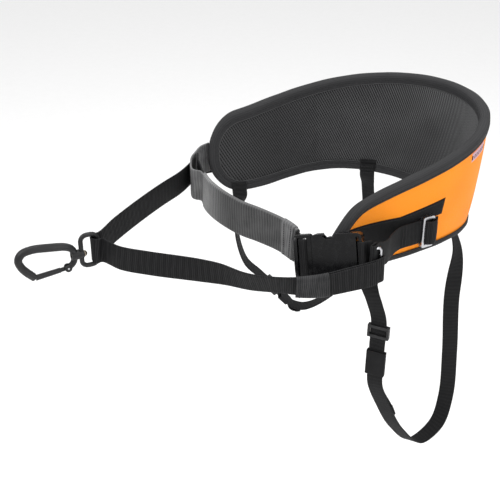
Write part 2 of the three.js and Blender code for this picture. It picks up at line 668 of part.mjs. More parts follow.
for (const leg of LEGS) {
  const across = legAcross(leg);
  const path = smoothPath(leg.points);
  add(`leg_strap_${leg.name}`, strap({ points: leg.points, width: LEG_WEB, steps: 60, across }), blackWeb);
  const sliderAt = closestOn(path, vec(leg.slider));
  const keeperAt = closestOn(path, vec(leg.keeper));
  add(`leg_slider_${leg.name}`, roundStrap(path, sliderAt, across, LEG_SLIDER), greyPlastic);
  add(`leg_keeper_${leg.name}`, roundStrap(path, keeperAt, across, { ...LEG_KEEPER, long: leg.keeperLong }), darkCloth);
}

export default harness;
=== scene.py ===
"""A padded hip belt with leg loops and a towing strap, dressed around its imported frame."""
import math
import bpy
import bmesh
import numpy as np
from mathutils import Matrix, Vector


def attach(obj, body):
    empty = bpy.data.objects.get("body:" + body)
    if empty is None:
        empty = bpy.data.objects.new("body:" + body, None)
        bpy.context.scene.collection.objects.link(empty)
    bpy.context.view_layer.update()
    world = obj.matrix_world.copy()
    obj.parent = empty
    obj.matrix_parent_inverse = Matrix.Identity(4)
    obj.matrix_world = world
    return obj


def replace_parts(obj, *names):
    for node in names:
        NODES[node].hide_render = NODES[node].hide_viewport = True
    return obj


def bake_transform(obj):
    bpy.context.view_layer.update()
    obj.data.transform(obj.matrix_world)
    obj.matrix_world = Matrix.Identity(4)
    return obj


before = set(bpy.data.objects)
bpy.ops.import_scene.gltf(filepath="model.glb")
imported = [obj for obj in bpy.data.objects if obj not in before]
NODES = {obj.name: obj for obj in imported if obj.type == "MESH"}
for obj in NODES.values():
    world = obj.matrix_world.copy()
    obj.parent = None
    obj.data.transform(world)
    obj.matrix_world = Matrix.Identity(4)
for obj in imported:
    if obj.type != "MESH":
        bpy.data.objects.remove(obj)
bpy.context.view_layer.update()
MM = 0.001

# ---------------------------------------------------------------- sizes, in millimetres

PAD_HALF = 358.4          # half the pad's length along its curve
PAD_BACK_Y = 138.0
TIP_RADIUS = 38.0
TIP_PULL = np.array([-15.7, 8.0, -9.5])
COVER_THICK = 1.0
LINING_THICK = 1.4
FACE_INSET = 5.5           # how far the cover and the lining stop short of the rim
PAD_BACK = -9.1           # depth of the lining's inner face
BINDING_WIDTH = 12.0
RIM_STEPS = 640
LOWER_NARROWING = 0.3      # how much narrower the tape's outer side is along the lower rim
PANEL_START = 0.565        # the black side panel, in shares of the pad's half length
PANEL_END = 0.985
PANEL_STITCH_INSET = 2.5
WEB_THICK = 1.8
WAIST_WEB = 40.0
HIP_WEB = 30.0
TOW_WEB = 30.0
LEG_WEB = 20.0
SEWN_DEPTH = PAD_BACK - 3.4    # middle of a leg strap sewn to the pad's inner face
TAB_DEPTH = PAD_BACK - 1.6     # middle of the tab between that strap and the pad
FLOOR_HEIGHT = -0.62           # metres
FLOOR_REACH = 60.0             # metres
BUCKLE_LEFT_END = np.array([126.0, -167.7, -32.4])
BUCKLE_RIGHT_END = np.array([177.8, -114.8, -18.2])

# ---------------------------------------------------------------- camera, light and floor

CAMERA_AZIMUTH = math.radians(62.737)
CAMERA_ELEVATION = math.radians(28.285)
CAMERA_PLACE = Vector((0.9211, -0.6333, 0.4717))


def make_camera():
    data = bpy.data.cameras.new("camera")
    data.lens = 69.64
    data.sensor_width = 36.0
    data.clip_end = 20.0
    camera = bpy.data.objects.new("camera", data)
    back = Vector((
        math.sin(CAMERA_AZIMUTH) * math.cos(CAMERA_ELEVATION),
        -math.cos(CAMERA_AZIMUTH) * math.cos(CAMERA_ELEVATION),
        math.sin(CAMERA_ELEVATION),
    ))
    right = Vector((math.cos(CAMERA_AZIMUTH), math.sin(CAMERA_AZIMUTH), 0))
    above = back.cross(right)
    turn = Matrix((right, above, back)).transposed().to_4x4()
    camera.matrix_world = Matrix.Translation(CAMERA_PLACE) @ turn
    bpy.context.scene.collection.objects.link(camera)
    bpy.context.scene.camera = camera


def area_light(name, place, target, size, power):
    data = bpy.data.lights.new(name, "AREA")
    data.size = size
    data.energy = power
    light = bpy.data.objects.new(name, data)
    light.location = place
    light.rotation_euler = (Vector(target) - Vector(place)).to_track_quat("-Z", "Y").to_euler()
    bpy.context.scene.collection.objects.link(light)


def make_studio():
    scene = bpy.context.scene
    scene.view_settings.view_transform = "Standard"
    world = bpy.data.worlds.new("studio")
    scene.world = world
    world.use_nodes = True
    background = world.node_tree.nodes["Background"]
    background.inputs["Color"].default_value = (1, 1, 1, 1)
    background.inputs["Strength"].default_value = 0.84
    area_light("key", (0.2, -1.6, 1.5), (0, -0.1, 0), 1.2, 22)
    area_light("fill", (1.6, 0.6, 0.9), (0.1, 0, -0.05), 1.4, 12)
    area_light("top", (-0.3, 0.2, 1.6), (0, 0, 0), 1.4, 14)
    mesh = bpy.data.meshes.new("floor")
    reach, low = FLOOR_REACH, FLOOR_HEIGHT
    mesh.from_pydata(
        [(-reach, -reach, low), (reach, -reach, low), (reach, reach, low), (-reach, reach, low)],
        [], [(0, 1, 2, 3)],
    )
    floor = bpy.data.objects.new("floor", mesh)
    scene.collection.objects.link(floor)
    look = Finish("pale_floor", rough=0.9)
    speckle = look.noise(40, 2)
    look.colour(look.mix((0.93, 0.93, 0.93), (0.96, 0.96, 0.96), speckle))
    mesh.materials.append(look.material)


# ---------------------------------------------------------------- materials

class Value:
    """A number that varies over a surface, so that sums on it add the nodes they need."""

    def __init__(self, look, socket):
        self.look = look
        self.socket = socket

    def __add__(self, other):
        return self.look.math("ADD", self, other)

    def __sub__(self, other):
        return self.look.math("SUBTRACT", self, other)

    def __mul__(self, other):
        return self.look.math("MULTIPLY", self, other)

    def __rsub__(self, other):
        return self.look.math("SUBTRACT", other, self)

    __radd__ = __add__
    __rmul__ = __mul__


class Finish:
    """One material, built up from node expressions."""

    def __init__(self, name, rough=0.5, metal=0.0, **constants):
        self.material = bpy.data.materials.new(name)
        self.material.use_nodes = True
        self.tree = self.material.node_tree
        self.shader = self.tree.nodes["Principled BSDF"]
        self.shader.inputs["Roughness"].default_value = rough
        self.shader.inputs["Metallic"].default_value = metal
        for socket, value in constants.items():
            self.shader.inputs[socket.replace("_", " ")].default_value = value

    def node(self, kind, settings=None, inputs=None, output=0):
        made = self.tree.nodes.new("ShaderNode" + kind)
        for key, value in (settings or {}).items():
            setattr(made, key, value)
        for key, value in (inputs or {}).items():
            self.feed(made.inputs[key], value)
        return Value(self, made.outputs[output])

    def feed(self, socket, value):
        if isinstance(value, Value):
            self.tree.links.new(value.socket, socket)
        elif isinstance(value, tuple) and len(value) == 3 and socket.type == "RGBA":
            socket.default_value = (*value, 1)
        else:
            socket.default_value = value

    def math(self, operation, *values):
        return self.node("Math", {"operation": operation}, dict(enumerate(values)))

    def sin(self, value):
        return self.math("SINE", value)

    def between(self, value, low, high):
        """0 below low, 1 above high, smooth between them."""
        return self.node("MapRange", {"interpolation_type": "SMOOTHSTEP"}, {
            "Value": value, "From Min": low, "From Max": high, "To Min": 0.0, "To Max": 1.0,
        })

    def attribute(self, name):
        return self.node("Attribute", {"attribute_name": name}, output=2)

    def place(self):
        return self.node("TexCoord", output=3)

    def noise(self, scale, detail=2.0, roughness=0.5):
        return self.node("TexNoise", None, {
            "Vector": self.place(), "Scale": scale, "Detail": detail, "Roughness": roughness,
        })

    def mix(self, first, second, share):
        return self.node("Mix", {"data_type": "RGBA"}, {0: share, 6: first, 7: second}, output=2)

    def colour(self, value):
        self.feed(self.shader.inputs["Base Color"], value)

    def rough(self, value):
        self.feed(self.shader.inputs["Roughness"], value)

    def bump(self, height, distance, strength=1.0):
        self.feed(self.shader.inputs["Normal"], self.node("Bump", None, {
            "Height": height, "Distance": distance, "Strength": strength,
        }))


def ridges(look, coordinate, pitch):
    """Rounded ridges a pitch apart, from 0 in the grooves to 1 on the crests."""
    return look.sin(coordinate * (2 * math.pi / pitch)) * 0.5 + 0.5


def webbing(name, dark, light, pitch, rough=0.62, streak=0.25, gloss=0.16, painted_sheen=0.2, painted_light=None):
    """Narrow woven tape: ribs across it, yarns along it, with painted sheen in wavy bands and painted
    highlights on its edges.
    """
    look = Finish(name, rough=rough, Specular_IOR_Level=gloss)
    along = look.attribute("along")
    across = look.attribute("across")
    rib = ridges(look, along, pitch * MM)
    yarn = ridges(look, across, 1.1 * MM)
    weave = rib * 0.75 + rib * yarn * 0.25
    patch = look.noise(60, 3)
    fuzz = look.noise(1800, 2)
    # painted highlight: the tape's edges are painted paler
    selvedge_highlight = look.between(look.math("ABSOLUTE", look.attribute("edge")), 0.9, 1.0)
    wander = look.noise(28, 2)
    # painted sheen: wavy lighter bands across the tape
    sheen = look.sin(along * (2 * math.pi / (pitch * 3.1 * MM)) + wander * 9.0) * 0.5 + 0.5
    shade = weave * 0.4 + patch * streak + sheen * painted_sheen + fuzz * 0.15
    share = look.between(shade, 0.25, 1.15)
    # painted light: the tape is painted paler before the first reach, a painted highlight, and darker after
    # the second
    if painted_light:
        share = share * (1 - look.between(along + (patch - 0.5) * 0.04, painted_light[0] * MM, painted_light[1] * MM) * 0.72)
    tone = look.mix(dark, light, share)
    look.colour(look.mix(tone, light, selvedge_highlight * 0.25))
    look.rough(rough + 0.12 - weave * 0.12)
    look.bump(weave + fuzz * 0.25, 0.35 * MM)
    return look.material


def woven_orange():
    look = Finish("orange_cloth", rough=0.6, Specular_IOR_Level=0.12)
    along = look.attribute("along")
    across = look.attribute("across")
    warp = ridges(look, along, 0.9 * MM)
    weft = ridges(look, across, 0.9 * MM)
    weave = warp * (1 - weft) + weft * (1 - warp)
    clouds = look.noise(9, 3)
    fuzz = look.noise(1200, 2)
    base = look.mix((0.95, 0.27, 0.014), (1.0, 0.32, 0.022), look.between(clouds, 0.35, 0.65))
    look.colour(look.mix(base, (0.80, 0.19, 0.008), (1 - weave) * 0.22 + fuzz * 0.1))
    look.rough(0.62 - weave * 0.12)
    look.bump(weave + fuzz * 0.3 + clouds * 1.5, 0.16 * MM)
    return look.material


def spacer_mesh():
    """Knitted spacer fabric: slanting rows of small open cells."""
    look = Finish("spacer_mesh", rough=0.72, Specular_IOR_Level=0.22)
    along = look.attribute("along")
    across = look.attribute("across")
    turn = 2 * math.pi / (3.0 * MM)
    rows = look.sin(along * (turn * 0.86) + across * (turn * 0.5)) * 0.5 + 0.5
    cells = look.sin(across * (turn * 0.8) - along * (turn * 0.3)) * 0.5 + 0.5
    hole = look.between(rows * 0.7 + cells * 0.3, 0.45, 0.85)
    fuzz = look.noise(1500, 2)
    clouds = look.noise(9, 3)
    shade = cells * 0.45 + fuzz * 0.25 + look.between(clouds, 0.35, 0.7) * 0.3
    # painted shade: the lining is painted darker towards the pad's right end
    shade = shade * (0.25 + look.between(along + (clouds - 0.5) * 0.1, -0.30, 0.22) * 0.9)
    thread = look.mix((0.025, 0.025, 0.026), (0.165, 0.166, 0.169), shade)
    look.colour(look.mix(thread, (0.006, 0.006, 0.0065), hole))
    look.rough(0.66 + hole * 0.3)
    look.bump((1 - hole) + cells * 0.4 + fuzz * 0.2, 0.5 * MM)
    return look.material


def binding_tape():
    look = Finish("binding_tape", rough=0.7, Specular_IOR_Level=0.2)
    along = look.attribute("along")
    across = look.attribute("across")
    rib = ridges(look, along, 1.0 * MM)
    cord = ridges(look, across, 2.2 * MM)
    fuzz = look.noise(1400, 2)
    clouds = look.noise(30, 3)
    shade = rib * 0.3 + cord * 0.25 + fuzz * 0.25 + clouds * 0.3
    look.colour(look.mix((0.009, 0.009, 0.0095), (0.042, 0.042, 0.044), shade))
    look.rough(0.75 - rib * 0.1)
    look.bump(rib * 0.6 + cord * 0.3 + fuzz * 0.4, 0.25 * MM)
    return look.material


def moulded(name, dark, light, rough, grain):
    """Moulded plastic: fine grain, faint scuffs and paler edges, the edges a painted highlight."""
    look = Finish(name, rough=rough, Specular_IOR_Level=0.28)
    fine = look.noise(grain, 2)
    scuff = look.noise(140, 5, 0.7)
    edge = look.node("NewGeometry", output=7)
    # painted highlight: sharp edges painted paler
    edge_highlight = look.between(edge, 0.52, 0.62)
    base = look.mix(dark, light, look.between(scuff, 0.45, 0.8) * 0.5)
    look.colour(look.mix(base, light, edge_highlight * 0.5))
    look.rough(rough + look.between(scuff, 0.4, 0.75) * 0.1)
    look.bump(fine + scuff * 0.4, 0.004 * MM)
    return look.material


def metal(name, dark, light, rough, metallic=1.0, brush=900):
    look = Finish(name, rough=rough, metal=metallic)
    fine = look.noise(brush, 3)
    marks = look.noise(90, 6, 0.75)
    # painted highlight: sharp edges painted paler
    edge_highlight = look.between(look.node("NewGeometry", output=7), 0.53, 0.64)
    look.colour(look.mix(look.mix(dark, light, look.between(marks, 0.5, 0.85)), light, edge_highlight * 0.5))
    look.rough(rough + look.between(marks, 0.35, 0.8) * 0.2)
    look.bump(fine, 0.012 * MM)
    return look.material


def plain_cloth(name, dark, light, pitch=0.8):
    look = Finish(name, rough=0.8, Specular_IOR_Level=0.12)
    warp = ridges(look, look.attribute("along"), pitch * MM)
    weft = ridges(look, look.attribute("across"), pitch * MM)
    weave = warp * (1 - weft) + weft * (1 - warp)
    fuzz = look.noise(1300, 2)
    look.colour(look.mix(dark, light, weave * 0.6 + fuzz * 0.4))
    look.rough(0.85 - weave * 0.15)
    look.bump(weave + fuzz * 0.4, 0.2 * MM)
    return look.material


def label_cloth():
    """A pale woven label crossed by short dark bars, with no lettering."""
    look = Finish("label_cloth", rough=0.8, Specular_IOR_Level=0.12)
    along = look.attribute("along")
    across = look.attribute("across")
    warp = ridges(look, along, 0.5 * MM)
    weft = ridges(look, across, 0.5 * MM)
    fuzz = look.noise(900, 2)
    base = look.mix((0.50, 0.30, 0.36), (0.80, 0.58, 0.66), warp * weft * 0.5 + fuzz * 0.5)
    bars = look.between(look.sin(along * (2 * math.pi / (5.2 * MM))), 0.05, 0.3)
    band = 1 - look.between(look.math("ABSOLUTE", look.attribute("edge")), 0.45, 0.55)
    look.colour(look.mix(base, (0.012, 0.012, 0.02), bars * band))
    look.rough(0.85 - warp * 0.1)
    look.bump(warp * 0.5 + weft * 0.5 + bars * band * 0.5, 0.15 * MM)
    return look.material


make_camera()
make_studio()

# painted highlight on the sleeve's start, painted shade further along
PAINTED_LIGHT_REACH = (150, 200)    # along the belt: the sleeve is pale before the first and dark after the second

ORANGE = woven_orange()
SPACER = spacer_mesh()
TAPE = binding_tape()
BLACK_WEB = webbing("black_webbing", (0.0045, 0.0045, 0.005), (0.024, 0.024, 0.025), 1.7)
TOW_BLACK = webbing("towing_webbing", (0.004, 0.004, 0.0045), (0.026, 0.026, 0.027), 2.4)
GREY_WEB = webbing("grey_sleeve", (0.014, 0.014, 0.0145), (0.33, 0.33, 0.332), 1.3,
                   streak=0.55, gloss=0.3, painted_sheen=0.3, painted_light=PAINTED_LIGHT_REACH)
# pale copy of the webbing: a painted highlight on the belt's end fold, and also used for the sleeve's cuff
PALE_WEB = webbing("pale_sleeve", (0.035, 0.035, 0.036), (0.24, 0.24, 0.242), 1.3,
                   streak=0.6, gloss=0.3, painted_sheen=0.2)
PATCH_CLOTH = plain_cloth("panel_cloth", (0.0035, 0.0035, 0.004), (0.018, 0.018, 0.019))
ELASTIC = webbing("elastic_band", (0.006, 0.006, 0.0065), (0.03, 0.03, 0.031), 1.0)
LABEL = label_cloth()
HEM_CLOTH = webbing("hem_cloth", (0.006, 0.006, 0.0065), (0.055, 0.055, 0.057), 1.9, streak=0.7,
                    painted_sheen=0.08)
THREAD = plain_cloth("sewing_thread", (0.012, 0.012, 0.0125), (0.05, 0.05, 0.052), 0.4)
PIPING = plain_cloth("piping", (0.03, 0.03, 0.031), (0.10, 0.10, 0.102), 0.6)
FOAM = plain_cloth("pad_foam", (0.05, 0.05, 0.05), (0.12, 0.12, 0.12), 2.0)
ACETAL = moulded("gloss_black_plastic", (0.003, 0.003, 0.0035), (0.018, 0.018, 0.019), 0.24, 900)
NYLON = moulded("grey_nylon", (0.012, 0.012, 0.0125), (0.07, 0.07, 0.072), 0.42, 700)
ANODISED = metal("black_anodised", (0.004, 0.004, 0.0045), (0.022, 0.022, 0.024), 0.42, 0.2)
STEEL = metal("bright_steel", (0.52, 0.52, 0.54), (0.8, 0.8, 0.82), 0.22)
RIVET_METAL = metal("dull_bronze", (0.25, 0.21, 0.16), (0.55, 0.5, 0.43), 0.35)

# ---------------------------------------------------------------- meshes

def smooth(mesh, sharp=None):
    mesh.polygons.foreach_set("use_smooth", [True] * len(mesh.polygons))
    if sharp is not None:
        mesh.set_sharp_from_angle(angle=math.radians(sharp))


def new_object(name, points, faces, material, attributes=None, sharp=None):
    mesh = bpy.data.meshes.new(name)
    mesh.from_pydata((np.asarray(points, float) * MM).tolist(), [], faces)
    for key, values in (attributes or {}).items():
        layer = mesh.attributes.new(key, "FLOAT", "POINT")
        layer.data.foreach_set("value", np.asarray(values, np.float32).ravel())
    mesh.materials.append(material)
    smooth(mesh, sharp)
    made = bpy.data.objects.new(name, mesh)
    bpy.context.scene.collection.objects.link(made)
    make = bmesh.new()
    make.from_mesh(mesh)
    bmesh.ops.recalc_face_normals(make, faces=make.faces)
    make.to_mesh(mesh)
    make.free()
    return made


def tube_faces(rings, around, loop):
    """Quads that join rings of points, with end caps unless the rings form a loop."""
    faces = []
    for i in range(rings if loop else rings - 1):
        a = i * around
        b = ((i + 1) % rings) * around
        for j in range(around):
            k = (j + 1) % around
            faces.append((a + j, a + k, b + k, b + j))
    if not loop:
        faces.append(tuple(range(around))[::-1])
        faces.append(tuple((rings - 1) * around + j for j in range(around)))
    return faces


def unit(v):
    v = np.asarray(v, float)
    return v / np.linalg.norm(v, axis=-1, keepdims=True)


def lerp(a, b, t):
    return a + (b - a) * t


def ramp(t, low, high):
    """0 below low, 1 above high, smooth between them."""
    x = np.clip((t - low) / (high - low), 0, 1)
    return x * x * (3 - 2 * x)


class Path:
    """A smooth line through points, read by its share of length."""

    def __init__(self, points):
        points = np.asarray(points, float)
        first = 2 * points[0] - points[1]
        last = 2 * points[-1] - points[-2]
        knots = np.vstack([first, points, last])
        fine = [self.piece(knots[i:i + 4]) for i in range(len(knots) - 3)]
        line = np.vstack(fine + [points[-1:]])
        steps = np.linalg.norm(np.diff(line, axis=0), axis=1)
        self.line = line
        self.reach = np.concatenate([[0], np.cumsum(steps)])
        self.length = self.reach[-1]

    @staticmethod
    def piece(four, count=24):
        gaps = np.sqrt(np.linalg.norm(np.diff(four, axis=0), axis=1)) + 1e-9
        t = np.concatenate([[0], np.cumsum(gaps)])
        x = np.linspace(t[1], t[2], count, endpoint=False)[:, None]
        a1, a2, a3 = (
            ((t[i + 1] - x) * four[i] + (x - t[i]) * four[i + 1]) / (t[i + 1] - t[i]) for i in range(3)
        )
        b1 = ((t[2] - x) * a1 + (x - t[0]) * a2) / (t[2] - t[0])
        b2 = ((t[3] - x) * a2 + (x - t[1]) * a3) / (t[3] - t[1])
        return ((t[2] - x) * b1 + (x - t[1]) * b2) / (t[2] - t[1])

    def at(self, share):
        reach = np.clip(np.asarray(share, float), 0, 1) * self.length
        return np.stack([np.interp(reach, self.reach, self.line[:, i]) for i in range(3)], -1)

    def along(self, share, span=1.2):
        step = span / self.length
        share = np.asarray(share, float)
        return unit(self.at(np.minimum(share + step, 1)) - self.at(np.maximum(share - step, 0)))


def flat_section(rows=11, corner=5):
    """The outline of a webbing's cut end: (across from -1 to 1, thickness from -1 to 1)."""
    turn = np.linspace(-math.pi / 2, math.pi / 2, corner)
    right = [(1, math.sin(a), math.cos(a)) for a in turn]
    top = [(x, 1, 0) for x in np.linspace(1, -1, rows)[1:-1]]
    left = [(-1, math.sin(a), -math.cos(a)) for a in turn[::-1]]
    bottom = [(x, -1, 0) for x in np.linspace(-1, 1, rows)[1:-1]]
    return np.array(right + top + left + bottom)


def strap(name, points, width, across, material, thick=WEB_THICK, lift=0.0, pitch=1.8, start=0.0, end=1.0,
          cup=0.0, body="root"):
    """A flat strap along a path. across(t) gives the direction of its width, and cup bows its face."""
    path = points if isinstance(points, Path) else Path(points)
    count = max(8, int(path.length * (end - start) / pitch))
    t = np.linspace(start, end, count)
    at = path.at(t)
    along = path.along(t)
    wide = np.array([across(x) for x in t], float)
    face = unit(np.cross(along, wide))
    wide = np.cross(face, along)
    widths = np.array([width(x) if callable(width) else width for x in t], float) / 2
    section = flat_section()
    half = thick / 2
    side = section[None, :, 0] * (widths[:, None] - half) + section[None, :, 2] * half
    share = side / widths[:, None]
    out = section[None, :, 1] * half + lift + cup * (1 - share ** 2)
    points3 = at[:, None] + side[..., None] * wide[:, None] + out[..., None] * face[:, None]
    reach = np.repeat((t * path.length)[:, None], len(section), 1)
    made = new_object(
        name, points3.reshape(-1, 3), tube_faces(count, len(section), False), material,
        {"along": reach * MM, "across": side * MM, "edge": share}, sharp=50,
    )
    if body:
        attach(made, body)
    return made


def joined(name, pieces, material):
    """Several (points, faces) lists as one object."""
    points, faces, offset = [], [], 0
    for p, f in pieces:
        points.append(np.asarray(p, float))
        faces += [tuple(i + offset for i in face) for face in f]
        offset += len(p)
    return new_object(name, np.vstack(points), faces, material, sharp=60)


STITCH_MARGIN = 0.5        # bare length before a row's first stitch
# share of the stitch's length, height above the cloth, size
STITCH_PROFILE = (
    (0.0, -0.3, 0.5), (0.2, 0.35, 0.95), (0.5, 0.55, 1.0), (0.8, 0.35, 0.95), (1.0, -0.3, 0.5),
)


def stitch_shape(start, end, out, thick=0.45):
    """One raised stitch, a small rounded bar that dips into the cloth at both ends."""
    along = end - start
    side = unit(np.cross(out, along)) * thick
    rings = []
    for share, height, size in STITCH_PROFILE:
        middle = start + along * share + out * height * thick
        for a in np.arange(6) * math.pi / 3:
            rings.append(middle + size * (side * math.cos(a) + out * thick * math.sin(a)))
    return rings, tube_faces(len(STITCH_PROFILE), 6, False)


def stitch_line(name, places, outs, body="root", long=2.9, gap=1.1):
    """A row of stitches along a line of points with outward directions."""
    places = np.asarray(places, float)
    outs = np.asarray(outs, float)
    reach = np.concatenate([[0], np.cumsum(np.linalg.norm(np.diff(places, axis=0), axis=1))])

    def read(table, x):
        return np.array([np.interp(x, reach, table[:, i]) for i in range(3)])

    pieces = []
    x = STITCH_MARGIN
    while x + long < reach[-1]:
        pieces.append(stitch_shape(read(places, x), read(places, x + long), unit(read(outs, x + long / 2))))
        x += long + gap
    made = joined(name, pieces, THREAD)
    if body:
        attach(made, body)
    return made


# ---------------------------------------------------------------- the pad

def heading(u):
    """How far the pad has turned from facing straight back, at a share of its half length."""
    return 2.593 * u + 0.105 * u ** 3 - 1.704 * u ** 5


def top_height(u):
    return 76.7 - 65.7 * u ** 2 + 13.7 * u ** 4


def bottom_height(u):
    return -74.7 + 95.4 * u ** 2 - 217.8 * u ** 4 + 136 * u ** 6


PLAN_U = np.linspace(0, 1, 401)
PLAN_STEP = PAD_HALF / 400
PLAN_TURNS = heading((PLAN_U[1:] + PLAN_U[:-1]) / 2)
PLAN_X = np.concatenate([[0], np.cumsum(np.cos(PLAN_TURNS) * PLAN_STEP)])
PLAN_Y = PAD_BACK_Y - np.concatenate([[0], np.cumsum(np.sin(PLAN_TURNS) * PLAN_STEP)])


def pad_point(s, z, t):
    """s along the pad from its middle, at height z, and out of its face by t."""
    s, z, t = np.broadcast_arrays(np.asarray(s, float), np.asarray(z, float), np.asarray(t, float))
    u = s / PAD_HALF
    h = heading(np.clip(u, -1, 1))
    middle = (top_height(u) + bottom_height(u)) / 2
    half = (top_height(u) - bottom_height(u)) / 2
    out = t + (5.75 + 10.4 * u ** 2) * (z - middle) / half
    size = np.minimum(np.abs(u), 1)
    x = np.sign(u) * np.interp(size, PLAN_U, PLAN_X)
    y = np.interp(size, PLAN_U, PLAN_Y)
    pull = np.clip((u - 0.5) / 0.5, 0, 1) ** 2
    place = np.stack([x + np.sin(h) * out, y + np.cos(h) * out, z], -1)
    return place + pull[..., None] * TIP_PULL


def pad_out(s):
    """The pad's outward direction."""
    h = heading(np.clip(np.asarray(s, float) / PAD_HALF, -1, 1))
    return np.stack([np.sin(h), np.cos(h), np.zeros_like(h)], -1)


def pad_edges(s, inset=0.0):
    """The heights of the pad's top and bottom edges, rounded off at the tips."""
    s = np.asarray(s, float)
    u = np.clip(s / PAD_HALF, -1, 1)
    radius = TIP_RADIUS - inset
    left = np.maximum(PAD_HALF - inset - np.abs(s), 0)
    arc = np.sqrt(np.maximum(radius ** 2 - (radius - np.minimum(left, radius)) ** 2, 0))
    short = np.where(left < radius, radius - arc, 0)
    return top_height(u) - inset - short, bottom_height(u) + inset + short


def edge_distance(s, z):
    """About how far a place on the pad is from its rim."""
    top, bottom = pad_edges(s)
    return np.minimum(np.minimum(top - z, z - bottom), PAD_HALF - np.abs(s))


def crown(s, z, height, reach=16.0):
    """How much the padding swells a face, away from the sewn rim."""
    return height * (1 - np.exp(-np.maximum(edge_distance(s, z) - 9, 0) / reach))


def outer_depth(s, z):
    return crown(s, z, 2.2) + 0.25 * np.sin(s / 23.0) * np.sin(z / 31.0)


# upright creases in the lining: place along the pad, width, depth
LINING_CREASES = (
    (262.0, 3.5, 1.0), (196.0, 6.0, 0.8), (-205.0, 6.0, 0.9), (-262.0, 5.0, 0.7), (120.0, 7.0, 0.5),
    (-122.0, 7.0, 0.5),
)


def inner_depth(s, z):
    swell = crown(s, z, 2.0)
    creases = 0.0
    for place, width, deep in LINING_CREASES:
        creases = creases + deep * np.exp(-((s - place - 0.04 * z) / width) ** 2)
    ripple = 0.3 * np.sin(s / 17.0 + z / 40.0)
    return PAD_BACK - swell + creases * np.clip(edge_distance(s, z) / 25, 0, 1) + ripple


def lining_depth(s, z):
    return inner_depth(s, z) + LINING_THICK


def shell_faces(columns, rows):
    """The quads of a thin closed shell: a grid of points for its front, then the same grid for its back."""
    size = columns * rows
    faces = []
    for i in range(columns - 1):
        for j in range(rows - 1):
            a = i * rows + j
            quad = (a, a + rows, a + rows + 1, a + 1)
            faces += [quad, tuple(q + size for q in quad[::-1])]
    rim = [i * rows for i in range(columns)]
    rim += [(columns - 1) * rows + j for j in range(1, rows)]
    rim += [i * rows + rows - 1 for i in range(columns - 2, -1, -1)]
    rim += range(rows - 2, 0, -1)
    for a, b in zip(rim, rim[1:] + rim[:1]):
        faces.append((a, b, b + size, a + size))
    return faces


def cloth_layer(name, s, z, front, back, material, edge=None):
    """A thin closed layer on the pad over a grid of (s, z), between two depths."""
    points = np.concatenate([pad_point(s, z, depth).reshape(-1, 3) for depth in (front, back)])
    attributes = {"along": np.tile(s.ravel(), 2) * MM, "across": np.tile(z.ravel(), 2) * MM}
    if edge is not None:
        attributes["edge"] = np.tile(edge.ravel(), 2)
    made = new_object(name, points, shell_faces(*s.shape), material, attributes, sharp=60)
    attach(made, "root")
    return made


def pad_face(name, depth, thick, inset, material):
    """One cloth layer over the whole pad."""
    columns, rows = 300, 64
    s = (PAD_HALF - inset) * np.sin(np.linspace(-math.pi / 2, math.pi / 2, columns))
    top, bottom = pad_edges(s, inset)
    z = bottom[:, None] + (top - bottom)[:, None] * np.linspace(0, 1, rows)
    s = np.repeat(s[:, None], rows, 1)
    front = depth(s, z)
    return cloth_layer(name, s, z, front, front - thick, material)


def rim_line(steps=RIM_STEPS):
    """The pad's outline as a loop of (s, z) and its inward directions."""
    angle = np.arange(steps) / steps * 2 * math.pi
    s = PAD_HALF * np.cos(angle)
    top, bottom = pad_edges(s)
    upper = np.sin(angle) > 1e-9
    middle = np.abs(np.sin(angle)) < 1e-9
    z = np.where(upper, top, bottom)
    z = np.where(middle, (top + bottom) / 2, z)
    line = np.stack([s, z], -1)
    ahead = unit(np.roll(line, -1, 0) - np.roll(line, 1, 0))
    return line, np.stack([-ahead[:, 1], ahead[:, 0]], -1)


def lower_rim(line):
    """1 along the pad's lower rim and 0 along its upper rim."""
    turn = np.arange(len(line)) / len(line) * 2 * math.pi
    return ramp(-np.sin(turn), -0.12, 0.12)


def rim_place(inset, depth, steps=RIM_STEPS, narrower=0.0):
    line, inward = rim_line(steps)
    spot = line + inward * (inset * (1 - narrower * lower_rim(line)))[:, None]
    return pad_point(spot[:, 0], spot[:, 1], depth)


def rim_binding():
    """The tape folded over the rim. Its edges lie on both faces and its fold is round."""
    front = 1.7
    back = PAD_BACK - 1.7
    middle = (front + back) / 2
    half = (front - back) / 2
    lip = [(0, -1.0), (0.1, -0.35), (-0.7, 0.15), (-2.0, 0), (-3.0, -0.35), (-4.2, 0.2)]
    lip.append((6.2 - BINDING_WIDTH, 0.4))
    outline = [(BINDING_WIDTH + inset, front + lift) for inset, lift in lip]
    for a in np.linspace(math.pi / 2, -math.pi / 2, 13):
        outline.append((4.6 - 4.6 * abs(math.cos(a)) ** 0.8, middle + (half + 0.4) * math.sin(a)))
    outline += [(BINDING_WIDTH + inset, back - lift) for inset, lift in lip[::-1]]
    outline += [(6.5, back + 1.2), (4.4, middle - half * 0.6), (4.0, middle)]
    outline += [(4.4, middle + half * 0.6), (6.5, front - 1.2)]
    line, inward = rim_line()
    gaps = np.linalg.norm(np.roll(line, -1, 0) - line, axis=1)
    reach = np.concatenate([[0], np.cumsum(gaps)[:-1]])
    puff = 0.25 * np.sin(reach / 7.0) + 0.2 * np.sin(reach / 17.0)
    rings, along, across = [], [], []
    for k, (inset, t) in enumerate(outline):
        share = 1 - LOWER_NARROWING * lower_rim(line) * (t > middle)
        spot = line + inward * (inset * share)[:, None]
        loose = puff * (1 if inset < 6 else 0.4) * (1 if t > middle else -1)
        rings.append(pad_point(spot[:, 0], spot[:, 1], t + loose))
        along.append(reach)
        across.append(np.full(len(line), k * 1.3))
    points = np.stack(rings, 1).reshape(-1, 3)
    faces = tube_faces(len(line), len(outline), True)
    attributes = {"along": np.stack(along, 1) * MM, "across": np.stack(across, 1) * MM}
    made = new_object("edge_binding_tape", points, faces, TAPE, attributes, sharp=70)
    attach(made, "root")
    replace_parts(made, "edge_binding")


